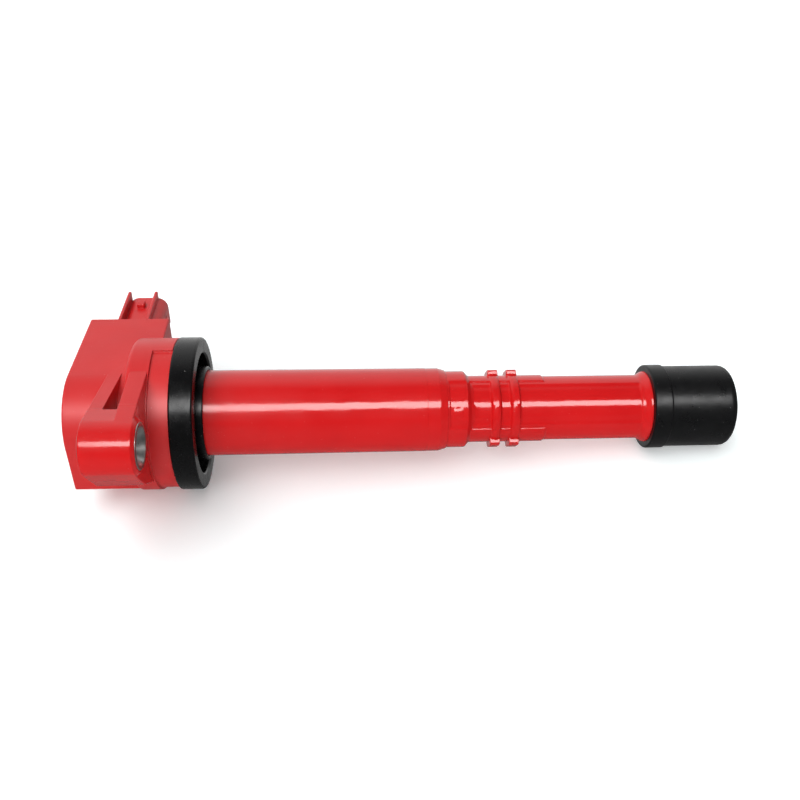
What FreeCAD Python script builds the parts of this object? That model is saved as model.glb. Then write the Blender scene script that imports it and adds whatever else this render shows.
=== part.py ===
import FreeCAD, Part
import math
import os
import Sketcher

# Ignition coil that sits over a spark plug: a box-shaped head with a bolt arm and a connector hood,
# a long coil sleeve, a narrower tower and a rubber boot. Millimetres.
# +X runs along the coil axis towards the plug, +Z is square to the head's flat upper side and
# +Y is the way the connector opens. The origin is on the coil axis, halfway along the seal's outer band.
# Stations in the spreadsheet are measured from the seal's front face.

V = FreeCAD.Vector
TURN_TO_X = FreeCAD.Rotation(V(0, 1, 0), 90)
LEAN = 45

DRIVING = {
    "seal_radius": 21.0, "seal_width": 6.2, "seal_bore": 11.9,
    "sleeve_radius": 11.65, "sleeve_wall": 1.35, "sleeve_length": 81.3, "sleeve_draft": 0.2,
    "head_top": 34.6, "head_depth": 22.5, "head_back": 27.3, "head_front": 15.2, "head_half": 14.2,
    "case_wall": 2.0, "flange_radius": 20.9,
    "bolt_away": 29.0, "bolt_up": 12.1, "boss_radius": 7.3, "boss_length": 12.3, "boss_foot": 11.7,
    "bush_radius": 5.95, "bush_bore": 3.3, "bush_proud": 0.45, "collar_rise": 0.85,
    "hood_reach": 43.3, "hood_width": 11.5, "hood_high": 11.2, "hood_wall": 1.3, "hood_centre": 21.25,
    "blade_width": 1.5, "blade_thick": 0.64, "blade_pitch": 3.1,
    "module_depth": 7.6,
    "core_radius": 3.6, "core_length": 52.0, "winding_length": 65.0,
    "tower_radius": 8.97, "tower_bore": 5.4, "boot_bore": 5.2, "guide_bore": 3.4, "neck_radius": 10.7,
    "boot_radius": 11.4, "boot_start": 123.4, "boot_length": 23.6,
    "spring_radius": 2.6, "spring_wire": 0.7, "spring_start": 86.5, "spring_length": 31.0,
    "spring_pitch": 3.1,
}


class Size:
    """A length that knows its number and the spreadsheet expression it comes from."""

    def __init__(self, value, text):
        self.value = value
        self.text = text

    def __add__(self, other):
        other = size(other)
        return Size(self.value + other.value, "(%s + %s)" % (self.text, other.text))

    def __radd__(self, other):
        return size(other) + self

    def __sub__(self, other):
        other = size(other)
        return Size(self.value - other.value, "(%s - %s)" % (self.text, other.text))

    def __rsub__(self, other):
        return size(other) - self

    def __mul__(self, factor):
        return Size(self.value * factor, "(%s * %s)" % (self.text, factor))

    __rmul__ = __mul__

    def __neg__(self):
        return Size(-self.value, "(0 - %s)" % self.text)


def size(number):
    if isinstance(number, Size):
        return number
    return Size(float(number), "(%.6f)" % number)


doc = FreeCAD.newDocument("ignition_coil")
sheet = doc.addObject("Spreadsheet::Sheet", "dims")
for row, (alias, number) in enumerate(DRIVING.items(), start=1):
    sheet.set("A%d" % row, alias.replace("_", " "))
    sheet.set("B%d" % row, str(number))
    sheet.setAlias("B%d" % row, alias)
doc.recompute()
D = {alias: Size(number, "dims." + alias) for alias, number in DRIVING.items()}


def bind(item, prop, length):
    """Set a property now and tie it to the spreadsheet."""
    length = size(length)
    if "." not in prop:
        setattr(item, prop, length.value)
    item.setExpression(prop, length.text)


def place(item, x=0, y=0, z=0, rotation=None):
    item.Placement = FreeCAD.Placement(V(size(x).value, size(y).value, size(z).value),
                                       rotation or FreeCAD.Rotation())
    for axis, where in (("x", x), ("y", y), ("z", z)):
        item.setExpression("Placement.Base." + axis, size(where).text)
    return item


def origin_plane(body, role):
    return [item for item in body.Origin.OriginFeatures if item.Role == role][0]


def outline_sketch(body, role, points):
    """Closed outline of straight edges, each corner tied to the spreadsheet."""
    sketch = body.newObject("Sketcher::SketchObject", body.Name + "_outline")
    sketch.AttachmentSupport = [(origin_plane(body, role), "")]
    sketch.MapMode = "FlatFace"
    corners = [(size(across), size(up)) for across, up in points]
    count = len(corners)
    for number in range(count):
        start = corners[number]
        end = corners[(number + 1) % count]
        sketch.addGeometry(Part.LineSegment(V(start[0].value, start[1].value, 0),
                                            V(end[0].value, end[1].value, 0)), False)
    for number in range(count):
        sketch.addConstraint(Sketcher.Constraint("Coincident", number, 2, (number + 1) % count, 1))
    for number, corner in enumerate(corners):
        for kind, length in (("DistanceX", corner[0]), ("DistanceY", corner[1])):
            rule = sketch.addConstraint(Sketcher.Constraint(kind, -1, 1, number, 1, length.value))
            sketch.setExpression("Constraints[%d]" % rule, length.text)
    return sketch


def new_body(label):
    body = doc.addObject("PartDesign::Body", label)
    body.Label = label
    return body


def turned(label, start, points):
    """Body turned about the coil axis from (along, radius) corners that begin at start."""
    body = new_body(label)
    sketch = outline_sketch(body, "XY_Plane", points)
    turn = body.newObject("PartDesign::Revolution", label + "_turn")
    turn.Profile = sketch
    turn.ReferenceAxis = (sketch, ["H_Axis"])
    turn.Angle = 360
    return place(body, x=start)


def tube(label, start, length, outer, inner):
    return turned(label, start, [(0, inner), (length, inner), (length, outer), (0, outer)])


def rod(label, start, length, radius):
    return turned(label, start, [(0, 0), (length, 0), (length, radius), (0, radius)])


def padded(label, role, length, points):
    """Body padded square to one origin plane from an outline drawn on it."""
    body = new_body(label)
    sketch = outline_sketch(body, role, points)
    pad = body.newObject("PartDesign::Pad", label + "_pad")
    pad.Profile = sketch
    bind(pad, "Length", length)
    return body


def prism(label, start, length, points):
    """Body padded along the coil axis from an outline in Y and Z."""
    return place(padded(label, "YZ_Plane", length, points), x=start)


def block(label, x, y, z):
    """Box between two limits on each axis."""
    item = doc.addObject("Part::Box", label)
    item.Label = label
    bind(item, "Length", size(x[1]) - x[0])
    bind(item, "Width", size(y[1]) - y[0])
    bind(item, "Height", size(z[1]) - z[0])
    return place(item, x[0], y[0], z[0])


def bar(label, start, length, radius, y=0, z=0):
    """Round bar along the coil direction, away from the axis."""
    item = doc.addObject("Part::Cylinder", label)
    item.Label = label
    bind(item, "Radius", radius)
    bind(item, "Height", length)
    return place(item, start, y, z, TURN_TO_X)


def join(label, items):
    fused = doc.addObject("Part::MultiFuse", label)
    fused.Label = label
    fused.Shapes = items
    fused.Refine = True
    return fused


def cut(label, base, tools):
    """Take one or more tools out of the base."""
    tool = tools[0] if len(tools) == 1 else join(label + "_tools", tools)
    result = doc.addObject("Part::Cut", label)
    result.Label = label
    result.Base = base
    result.Tool = tool
    return result


def rounded(label, base, picks):
    """Round circular edges, each picked by its place along the axis and its radius."""
    doc.recompute()
    result = doc.addObject("Part::Fillet", label)
    result.Label = label
    result.Base = base
    chosen = []
    for number, edge in enumerate(base.Shape.Edges, start=1):
        if not isinstance(edge.Curve, Part.Circle):
            continue
        for along, radius, fillet in picks:
            here = abs(edge.Curve.Center.x - size(along).value) < 0.01
            if here and abs(edge.Curve.Radius - size(radius).value) < 0.01:
                chosen.append((number, fillet, fillet))
    result.Edges = chosen
    return result


# ---- driving places along the axis, worked out from the spreadsheet ----

SEAL_FRONT = 0.5 * D["seal_width"]
SEAL_BACK = -0.5 * D["seal_width"]
HEAD_TOP = SEAL_FRONT - D["head_top"]
HEAD_FLOOR = HEAD_TOP + D["head_depth"]
CAVITY_FLOOR = HEAD_FLOOR - 2.4
BOSS_END = SEAL_FRONT - D["boss_foot"]
BOSS_START = BOSS_END - D["boss_length"]
SLEEVE_END = CAVITY_FLOOR + D["sleeve_length"]
SLEEVE_BORE = D["sleeve_radius"] - D["sleeve_wall"]
HOOD_LOW = 6.4 - 0.5 * D["hood_high"]
HOOD_TOP = HOOD_LOW + D["hood_high"]
HOOD_LEFT = SEAL_FRONT - D["hood_centre"] - 0.5 * D["hood_width"]
BOOT_START = SEAL_FRONT + D["boot_start"]
BOOT_END = BOOT_START + D["boot_length"]
TOWER_END = BOOT_START + 7.6
SPRING_START = SEAL_FRONT + D["spring_start"]
SPRING_END = SPRING_START + D["spring_length"]
WINDING_START = SEAL_FRONT - 8.0


def box_outline(inset, reach):
    """Solid of the head's outline: square at the back and below, one large round at the front top."""
    half = D["head_half"] - inset
    front = D["head_front"] - inset
    back = D["head_back"] - inset
    centre = half - front
    name = "outline_%d" % round(size(inset).value * 10)
    length = reach - HEAD_TOP
    rear = block(name + "_rear", (HEAD_TOP, reach), (centre, back), (-half, half))
    low = block(name + "_low", (HEAD_TOP, reach), (-front, centre), (-half, 0))
    corner = bar(name + "_corner", HEAD_TOP, length, half, y=centre)
    return join(name, [rear, low, corner])


def flange():
    """Disc that closes the head towards the seal, relieved on the front half next to the seal."""
    back = SEAL_BACK - 11.4
    step = back + 6.2
    wide = D["flange_radius"]
    disc = rounded("flange_disc", rod("flange_turn", back, SEAL_BACK - back, wide), [(back, wide, 1.4)])
    relief = ring_piece("flange_relief", step, 8, wide + 3, wide - 0.6, 180, 180)
    return cut("flange", disc, [relief])


def arm():
    """Gusset from the head to the bolt boss, with the pocket that leaves two ribs."""
    away = -D["bolt_away"]
    up = D["bolt_up"]
    wide = D["boss_radius"]
    length = D["boss_length"]
    solid = prism("arm_solid", BOSS_START, length, [
        (0, D["head_half"] - 0.1), (away + 0.184 * wide, up + 0.983 * wide),
        (away - 0.818 * wide, up - 0.576 * wide), (away + 0.9, -1.4), (away + 2.6, -2.6),
        (-D["head_front"] + 0.5, -11.5), (0, -11.5)])
    slot = BOSS_START + 3.7
    pocket = prism("arm_pocket", slot, 4.0, [
        (away + 6.9, 26), (away + 6.9, -0.6), (0, -3.4), (0, 26)])
    ribs = cut("arm_ribs", solid, [pocket])
    level_rib = block("level_rib", (slot + 4.0, BOSS_END), (away, -6.5), (5.5, up + wide))
    boss = turned("boss", BOSS_START, [
        (0, 0), (length + 0.9, 0), (length + 0.9, wide - D["collar_rise"]), (length + 0.15, wide), (0, wide)])
    return join("arm", [ribs, level_rib, place(boss, BOSS_START, away, up)])


def hood():
    """Connector hood with its two guide fins and the latch nub."""
    left = HOOD_LEFT
    root = D["head_back"] - D["case_wall"]
    mouth = D["hood_reach"]
    shell = block("hood_shell", (left, left + D["hood_width"]), (root, mouth), (HOOD_LOW, HOOD_TOP))
    doc.recompute()
    softened = doc.addObject("Part::Fillet", "hood_soft")
    softened.Base = shell
    long_edges = [number for number, edge in enumerate(shell.Shape.Edges, start=1)
                  if abs(edge.tangentAt(edge.FirstParameter).y) > 0.99]
    softened.Edges = [(number, 3.2, 3.2) for number in long_edges]
    fins = [block("fin_%d" % number, (x, x + 1.0), (root, mouth), (HOOD_TOP - 3.0, D["head_half"]))
            for number, x in enumerate((left + 0.1, left + 8.0))]
    nub_x = left + 3.55
    nub = block("nub", (nub_x, nub_x + 2.3), (mouth - 6.6, mouth - 4.0), (HOOD_TOP - 0.5, HOOD_TOP + 1.4))
    right = left + D["hood_width"]
    web = padded("hood_web", "XY_Plane", 6.0, [
        (right - 1.6, 18), (right + 4.9, 18), (right + 4.75, 21), (right + 0.05, mouth - 3.1),
        (right - 1.6, mouth - 3.1)])
    return join("hood", [softened] + fins + [nub, place(web, z=2.0)])


def hood_cavity():
    wall = D["hood_wall"]
    return block("hood_cavity", (HOOD_LEFT + wall, HOOD_LEFT + D["hood_width"] - wall),
                 (D["head_back"] + 1.3, D["hood_reach"] + 5), (HOOD_LOW + wall, HOOD_TOP - wall))


def blade(number, x):
    """Flat connector pin from the head into the hood."""
    half = 0.5 * D["blade_width"]
    low = 6.4 - 0.5 * D["blade_thick"]
    return block("terminal_blade_%d" % number, (x - half, x + half), (16, D["hood_reach"] - 5.2),
                 (low, low + D["blade_thick"]))


def head_case(blades):
    outer = join("case_outer", [box_outline(0, HEAD_FLOOR), flange(), arm(), hood()])
    inner = box_outline(D["case_wall"], CAVITY_FLOOR)
    hollow = cut("case_hollow", outer, [inner, hood_cavity()])
    bore = bar("case_bore", CAVITY_FLOOR - 5, 40, D["sleeve_radius"] + D["sleeve_draft"])
    eye = bar("case_eye", BOSS_START - 5, D["boss_length"] + 10, D["bush_radius"],
              y=-D["bolt_away"], z=D["bolt_up"])
    return cut("head_case", hollow, [bore, eye] + blades)


def bolt_bush():
    """Steel limiter in the boss, with a wide funnel at each end that leads the bolt in."""
    length = D["boss_length"] + D["bush_proud"] + 1.1
    mouth = D["bush_radius"] - 0.95
    start = BOSS_START - D["bush_proud"]
    body = turned("bolt_bush", start, [
        (0, mouth), (2.6, D["bush_bore"]), (length - 2.6, D["bush_bore"]), (length, mouth),
        (length, D["bush_radius"]), (0, D["bush_radius"])])
    return place(body, start, -D["bolt_away"], D["bolt_up"])


def cover_seal():
    """Rubber ring with a deep groove between its outer wall and the hub on the sleeve."""
    wide = D["seal_radius"]
    width = D["seal_width"]
    inner = D["seal_bore"]
    ring = turned("seal_turn", SEAL_BACK, [
        (0, inner), (width + 1.3, inner), (width + 1.3, inner + 1.0), (1.7, inner + 1.4),
        (1.7, wide - 4.4), (width, wide - 4.4), (width, wide), (0, wide)])
    return rounded("cover_seal", ring, [(SEAL_BACK, wide, 0.5), (SEAL_BACK + width, wide, 0.7),
                                        (SEAL_BACK + width, wide - 4.4, 0.5)])


def coil_sleeve():
    """Long drafted tube with a stepped shoulder where the tower comes out."""
    length = D["sleeve_length"]
    wide = D["sleeve_radius"]
    root = wide + D["sleeve_draft"]
    seat = SEAL_BACK - CAVITY_FLOOR
    body = turned("sleeve_turn", CAVITY_FLOOR, [
        (0, SLEEVE_BORE), (length, SLEEVE_BORE), (length, wide - 0.7), (length - 0.6, wide - 0.55),
        (length - 2.2, wide), (seat, root), (0, root)])
    return rounded("coil_sleeve", body, [(SLEEVE_END - 2.2, wide, 1.2)])


def ring_piece(label, start, length, outer, inner, spread, facing):
    """Part of a ring that spreads over an angle about the direction it faces, in Y and Z."""
    wide = doc.addObject("Part::Cylinder", label + "_wide")
    bind(wide, "Radius", outer)
    bind(wide, "Height", length)
    wide.Angle = spread
    # The cylinder's zero angle points down once it lies along X, so it is rolled round from there.
    roll = FreeCAD.Rotation(V(1, 0, 0), facing + 90 - spread / 2)
    place(wide, start, 0, 0, roll.multiply(TURN_TO_X))
    return cut(label, wide, [bar(label + "_core", start - 1, length + 2, inner)])


def tower():
    """Narrow tube between sleeve and boot, with two rails, two snap rings and its flare."""
    neck_start = SLEEVE_END - 8.8
    neck = D["neck_radius"]
    wide = D["tower_radius"]
    boot = BOOT_START

    def at(along):
        return along - neck_start

    points = [
        (0, 0), (at(TOWER_END), 0), (at(TOWER_END), wide - 0.67), (at(boot), wide - 0.67),
        (at(boot), wide + 1.05), (at(boot) - 0.5, wide + 0.95), (at(boot) - 2.2, wide),
        (at(SLEEVE_END) + 6.8, wide), (at(SLEEVE_END) + 5.4, neck), (at(SLEEVE_END), neck),
        (at(SLEEVE_END), SLEEVE_BORE - 0.02), (0, SLEEVE_BORE - 0.02)]
    shaft = rounded("tower_shaft", turned("tower_turn", neck_start, points),
                    [(SLEEVE_END + 5.4, neck, 0.8)])
    panels = []
    for number, facing in enumerate((LEAN + 90, LEAN + 270)):
        panels.append(ring_piece("panel_%d" % number, SLEEVE_END + 7.2, 46.6, wide + 3, wide - 0.27,
                                 77, facing))
        panels.append(ring_piece("neck_panel_%d" % number, SLEEVE_END + 0.5, 5.2, neck + 2, neck - 0.3,
                                 77, facing))
    shaft = cut("tower_panels", shaft, panels)
    added = []
    for number, facing in enumerate((LEAN, LEAN + 180)):
        added.append(ring_piece("rail_%d" % number, SLEEVE_END + 4.5, 23.0, wide + 0.36, wide - 2, 88,
                                facing))
    for number, along in enumerate((12.0, 17.3)):
        added.append(tube("snap_ring_%d" % number, SLEEVE_END + along, 2.8, wide + 0.75, wide - 2))
        lug = prism("snap_lug_%d" % number, SLEEVE_END + along - 0.1, 3.0, [
            (-3.6, -wide - 1.7), (3.6, -wide - 1.7), (3.6, wide + 1.7), (-3.6, wide + 1.7)])
        lug.Placement.Rotation = FreeCAD.Rotation(V(1, 0, 0), LEAN - 90)
        added.append(chamfered_lug("lug_%d" % number, lug))
    solid = join("tower_solid", [shaft] + added)
    cup = bar("tower_cup", neck_start - 1, 9.0, SLEEVE_BORE - 1.75)
    guide = bar("tower_guide", neck_start, 80, D["guide_bore"])
    well = bar("tower_well", SLEEVE_END + 43.2, 60, D["tower_bore"])
    return cut("extension_tower", solid, [cup, guide, well])


def chamfered_lug(label, lug):
    """Bevel the crosswise edges of a lug so its ends taper."""
    doc.recompute()
    result = doc.addObject("Part::Chamfer", label)
    result.Base = lug
    far = D["tower_radius"].value + 1.5
    picked = []
    for number, edge in enumerate(lug.Shape.Edges, start=1):
        middle = edge.valueAt((edge.FirstParameter + edge.LastParameter) / 2)
        along_x = abs(edge.tangentAt(edge.FirstParameter).x) > 0.9
        if not along_x and math.hypot(middle.y, middle.z) > far and edge.Length > 5:
            picked.append((number, 0.6, 0.6))
    result.Edges = picked
    return result


def plug_boot():
    """Rubber boot: a thicker collar on the tower and a round-ended grip for the plug."""
    length = D["boot_length"]
    wide = D["boot_radius"]
    bore = D["boot_bore"]
    nose = TOWER_END - BOOT_START
    body = turned("boot_turn", BOOT_START, [
        (0, D["tower_radius"] - 0.67), (nose, D["tower_radius"] - 0.67), (nose, bore),
        (length - 1.4, bore), (length, bore + 1.2), (length, wide), (4.9, wide), (4.7, wide + 0.4),
        (0, wide + 0.4)])
    return rounded("plug_boot", body, [(BOOT_END, wide, 2.4), (BOOT_START, wide + 0.4, 0.5)])


def secondary_bobbin():
    """Thin former whose low walls part the secondary winding into sections."""
    root = D["core_radius"] + 1.3
    crest = root + 1.5
    length = D["winding_length"]
    sections = 8
    wall = 0.8
    pitch = (length - wall) * (1 / sections)
    points = [(0, D["core_radius"] + 0.2), (length - 2, D["core_radius"] + 0.2), (length - 2, 0), (length, 0),
              (length, crest)]
    for number in range(sections, 0, -1):
        points += [(pitch * number, crest), (pitch * number, root)]
        points += [(pitch * (number - 1) + wall, root), (pitch * (number - 1) + wall, crest)]
    points.append((0, crest))
    return turned("secondary_bobbin", WINDING_START, points)


def secondary_winding(bobbin):
    root = D["core_radius"] + 1.3
    whole = tube("secondary_whole", WINDING_START, D["winding_length"], root + 1.2, root)
    return cut("secondary_winding", whole, [bobbin])


def primary_bobbin():
    root = D["core_radius"] + 3.3
    length = D["winding_length"] + 3.5
    return turned("primary_bobbin", WINDING_START - 3, [
        (0, root), (length, root), (length, root + 2.9), (length - 1.2, root + 2.9),
        (length - 1.2, root + 0.8), (1.2, root + 0.8), (1.2, root + 2.9), (0, root + 2.9)])


def core_shield():
    """Steel sleeve that closes the magnetic path, slit along its length."""
    length = D["winding_length"] + 3.5
    steel = tube("shield_tube", WINDING_START - 3, length, SLEEVE_BORE - 0.03, SLEEVE_BORE - 0.48)
    slit = block("shield_slit", (WINDING_START - 5, WINDING_START + length + 5), (-0.6, 0.6), (0, 12))
    return cut("core_shield", steel, [slit])


def igniter_module():
    """Moulded switching module with its row of leads."""
    top = HEAD_TOP + D["module_depth"]
    pieces = [block("module_body", (top, top + 4.5), (-4, 10), (-7, 7))]
    for number in range(5):
        z = -5 + 2.5 * number
        pieces.append(block("module_lead_%d" % number, (top + 1.9, top + 2.4), (9.8, 14.5), (z - 0.4, z + 0.4)))
    return join("igniter_module", pieces)


def hv_terminal():
    """Brass terminal below the secondary: contact pin, disc and stem."""
    start = WINDING_START + D["winding_length"]
    return turned("hv_terminal", start, [
        (0, 0), (9.5, 0), (9.5, 2.4), (2.6, 2.4), (2.6, SLEEVE_BORE - 2.0), (1.4, SLEEVE_BORE - 2.0),
        (1.4, 1.0), (0, 1.0)])


def resistor():
    """Ceramic suppression resistor between terminal and spring."""
    start = WINDING_START + D["winding_length"] + 9.5
    length = SPRING_START - 2 - start
    body = rod("suppression_resistor", start + 1.5, length - 3, 2.5)
    caps = [rod("resistor_cap_%d" % number, x, 1.5, 2.8)
            for number, x in enumerate((start, start + length - 1.5))]
    return body, join("resistor_caps", caps)


def contact_spring():
    """Open coils of the plug contact spring."""
    helix = doc.addObject("Part::Helix", "spring_line")
    bind(helix, "Pitch", D["spring_pitch"])
    bind(helix, "Height", D["spring_length"] - D["spring_wire"])
    bind(helix, "Radius", D["spring_radius"])
    place(helix, SPRING_START + 0.5 * D["spring_wire"], 0, 0, TURN_TO_X)
    wire = doc.addObject("Part::Circle", "spring_section")
    bind(wire, "Radius", 0.5 * D["spring_wire"])
    place(wire, SPRING_START + 0.5 * D["spring_wire"], 0, -D["spring_radius"],
          FreeCAD.Rotation(V(1, 0, 0), 90))
    sweep = doc.addObject("Part::Sweep", "contact_spring")
    sweep.Label = "contact_spring"
    sweep.Sections = [wire]
    sweep.Spine = (helix, [])
    sweep.Solid = True
    sweep.Frenet = True
    return sweep


def spring_tip():
    """Closed end coils of the spring, wound down to touch each other, that meet the plug terminal."""
    coils = []
    for number in range(4):
        coil = doc.addObject("Part::Torus", "tip_coil_%d" % number)
        bind(coil, "Radius1", D["spring_radius"] - 0.12 * number)
        bind(coil, "Radius2", 0.5 * D["spring_wire"])
        place(coil, SPRING_END + 0.35 + 0.6 * number, 0, 0, TURN_TO_X)
        coils.append(coil)
    return join("spring_tip", coils)


def head_resin(pieces):
    """Potting that fills the head round everything in it, a little below the rim."""
    fill = box_outline(D["case_wall"] + 0.02, CAVITY_FLOOR)
    rim = block("resin_rim", (HEAD_TOP - 5, HEAD_TOP + 1.2), (-40, 60), (-40, 40))
    throat = bar("resin_throat", CAVITY_FLOOR - 0.5, WINDING_START - 3 - CAVITY_FLOOR + 0.5,
                 SLEEVE_BORE - 0.03)
    whole = cut("resin_whole", join("resin_fill", [fill, throat]), [rim])
    return cut("head_resin", whole, pieces)


def build():
    coil_top = WINDING_START - 3
    core_start = WINDING_START + 6
    core = D["core_radius"]
    blades = [blade(number + 1, HOOD_LEFT + 0.5 * D["hood_width"] + (number - 1) * D["blade_pitch"])
              for number in range(3)]
    module = igniter_module()
    under_module = HEAD_TOP + D["module_depth"] + 4.5
    sink = block("igniter_heat_sink", (under_module, under_module + 1.5), (-6, 12), (-9, 9))
    low = CAVITY_FLOOR - 2.0
    supply = block("supply_busbar", (low, low + 0.6), (2, 15.5), (7.5, 10))
    switched = block("switch_busbar", (low, low + 0.6), (2, 15.5), (-10, -7.5))
    diode = block("hv_diode", (low - 2.6, low), (-9.0, -3.0), (-9.6, -7.0))
    resistor_body, resistor_caps = resistor()
    bobbin = secondary_bobbin()
    dampers = join("core_dampers", [rod("damper_%d" % number, x, length, core - 0.1) for number, (x, length)
                                    in enumerate(((core_start - 5.5, 2.5), (core_start + 55, 1.9)))])
    shell_length = D["winding_length"] + 1.1
    return [
        head_case(blades), coil_sleeve(), tower(), cover_seal(), plug_boot(), bolt_bush(),
        *blades, module, sink, supply, switched, diode,
        head_resin([module, sink, supply, switched, diode] + blades),
        core_shield(), primary_bobbin(),
        tube("primary_winding", coil_top + 1.2, shell_length, core + 5.5, core + 4.1),
        tube("sleeve_resin", coil_top + 1.2, shell_length, SLEEVE_BORE - 0.48, core + 5.5),
        bobbin, secondary_winding(bobbin),
        tube("winding_resin", WINDING_START, D["winding_length"], core + 3.3, core + 2.8),
        rod("central_core", core_start, D["core_length"], core),
        rod("upper_magnet", core_start - 3, 3, core), rod("lower_magnet", core_start + 52, 3, core),
        dampers, hv_terminal(), resistor_body, resistor_caps,
        rod("spring_seat", SPRING_START - 2, 2, D["guide_bore"] - 0.2),
        contact_spring(), spring_tip(),
    ]


pieces = build()
doc.recompute()

faults = [item.Name for item in doc.Objects if {"Invalid", "Error"} & set(item.State)]
if faults:
    raise RuntimeError("objects in error: " + ", ".join(faults))
os.makedirs("parts", exist_ok=True)
for piece in pieces:
    if piece.Shape.isNull() or not piece.Shape.isValid() or not piece.Shape.Solids:
        raise RuntimeError("bad shape: " + piece.Label)
    piece.Shape.exportStep("parts/%s.step" % piece.Label)
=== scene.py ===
import math

import bmesh
import bpy
import numpy as np
from mathutils import Matrix, Vector


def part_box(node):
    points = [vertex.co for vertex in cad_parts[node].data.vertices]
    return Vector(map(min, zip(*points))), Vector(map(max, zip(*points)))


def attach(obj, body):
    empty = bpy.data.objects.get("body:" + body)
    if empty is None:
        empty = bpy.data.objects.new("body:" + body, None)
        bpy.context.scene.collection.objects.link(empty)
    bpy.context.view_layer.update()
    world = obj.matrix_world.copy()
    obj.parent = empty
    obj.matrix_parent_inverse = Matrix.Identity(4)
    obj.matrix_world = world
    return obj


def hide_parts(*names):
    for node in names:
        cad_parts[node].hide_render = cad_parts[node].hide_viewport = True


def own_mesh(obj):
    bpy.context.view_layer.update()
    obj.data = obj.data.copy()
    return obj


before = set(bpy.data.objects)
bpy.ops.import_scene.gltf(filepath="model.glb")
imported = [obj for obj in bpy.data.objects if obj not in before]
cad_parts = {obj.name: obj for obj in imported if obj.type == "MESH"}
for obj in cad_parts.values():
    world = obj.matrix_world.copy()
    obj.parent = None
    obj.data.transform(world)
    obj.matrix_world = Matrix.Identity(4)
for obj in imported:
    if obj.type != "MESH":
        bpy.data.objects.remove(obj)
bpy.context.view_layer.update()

# Looks for the ignition coil. Lengths in this file are millimetres in the CAD frame and become metres
# when a mesh is made. +X runs along the coil axis to the plug, and +Y is the way the connector opens.

MM = 0.001
ROOT = "coil"
CONTACT = "plug_contact"
SHARP = math.radians(33)


def span(node):
    """Lowest and highest corner of a CAD node in millimetres."""
    low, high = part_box(node)
    return [value / MM for value in low], [value / MM for value in high]


(CASE_LEFT, _, _), (_, HOOD_MOUTH, _) = span("head_case")
(SLEEVE_START, _, _), (SLEEVE_END, SLEEVE_WIDE, _) = span("coil_sleeve")
(SEAL_BACK, _, _), (HUB_END, SEAL_WIDE, _) = span("cover_seal")
(BOOT_START, _, _), (BOOT_END, BOOT_WIDE, _) = span("plug_boot")
(BUSH_START, BUSH_FRONT, _), (BUSH_END, BUSH_BACK, BUSH_TOP) = span("bolt_bush")
TOWER_END = span("extension_tower")[1][0]
(SPRING_START, _, _), (SPRING_END, _, _) = span("contact_spring")
TIP_END = span("spring_tip")[1][0]
RESIN_TOP = span("head_resin")[0][0]

# Head case.
HEAD_FLOOR = CASE_LEFT + 22.5
HEAD_HALF = 14.2
HEAD_BACK = 27.3
ROUND_Y = -1.0
CASE_WALL = 2.0
CAVITY_FLOOR = HEAD_FLOOR - 2.4
FLANGE_START = SEAL_BACK - 11.4
FLANGE_RADIUS = 20.9
RELIEF_START = FLANGE_START + 6.2
RELIEF_DEPTH = 0.6

# Bolt arm and its bush.
BOSS_RADIUS = 7.3
BUSH_RADIUS = 0.5 * (BUSH_BACK - BUSH_FRONT)
BOSS_Y = BUSH_FRONT + BUSH_RADIUS
BOSS_Z = BUSH_TOP - BUSH_RADIUS
BOSS_START = BUSH_START + 0.45
BOSS_END = BUSH_END - 1.1
COLLAR_END = BOSS_END + 0.9
SLOPING_RIB = 3.7
SLOT_WIDTH = 4.0
BOLT_BORE = 3.3
FUNNEL_DEPTH = 2.6

# Connector hood.
HOOD_LEFT = CASE_LEFT + 7.6
HOOD_RIGHT = HOOD_LEFT + 11.5
HOOD_LOW = 0.8
HOOD_TOP = 12.0
HOOD_WALL = 1.3
HOOD_CORNER = 3.2

# Turned pieces.
SEAL_FRONT = SEAL_BACK + 6.2
SEAL_BORE = 11.9
SLEEVE_BORE = 10.35
SHOULDER = SLEEVE_END - 2.2
BOOT_BORE = 5.2
BOOT_SEAT = 8.3
BOOT_GRIP = BOOT_WIDE - 0.4
BOOT_ROUND = 2.4
FINE = 256
TURNED_SHARP = math.radians(50)


# ---- meshes ----

def new_object(name, verts, faces):
    mesh = bpy.data.meshes.new(name)
    mesh.from_pydata([tuple(value * MM for value in vert) for vert in verts], [], faces)
    mesh.update()
    item = bpy.data.objects.new(name, mesh)
    bpy.context.scene.collection.objects.link(item)
    return item


def edit(item, change):
    """Run a change on the mesh through bmesh."""
    work = bmesh.new()
    work.from_mesh(item.data)
    change(work)
    work.to_mesh(item.data)
    work.free()
    return item


def outward(work):
    bmesh.ops.recalc_face_normals(work, faces=work.faces)


def bevel(item, width, segments=3):
    """Round the sharp edges of a raw solid."""
    def change(work):
        outward(work)
        edges = [edge for edge in work.edges if edge.calc_face_angle(0) > SHARP]
        bmesh.ops.bevel(work, geom=edges, offset=width * MM, segments=segments, profile=0.5,
                        affect="EDGES", clamp_overlap=True)
    return edit(item, change)


def prism(outline, start, end, axis="X"):
    """Solid pulled along X, Y or Z from an outline whose two numbers are the other two axes in order."""
    def corner(along, point):
        places = {"X": (along, *point), "Y": (point[0], along, point[1]), "Z": (*point, along)}
        return places[axis]
    count = len(outline)
    verts = [corner(along, point) for along in (start, end) for point in outline]
    faces = [tuple(range(count)), tuple(reversed(range(count, 2 * count)))]
    for number in range(count):
        after = (number + 1) % count
        faces.append((number, after, count + after, count + number))
    return edit(new_object("work_prism", verts, faces), outward)


def brick(x, y, z):
    return prism([(y[0], z[0]), (y[1], z[0]), (y[1], z[1]), (y[0], z[1])], x[0], x[1])


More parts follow.
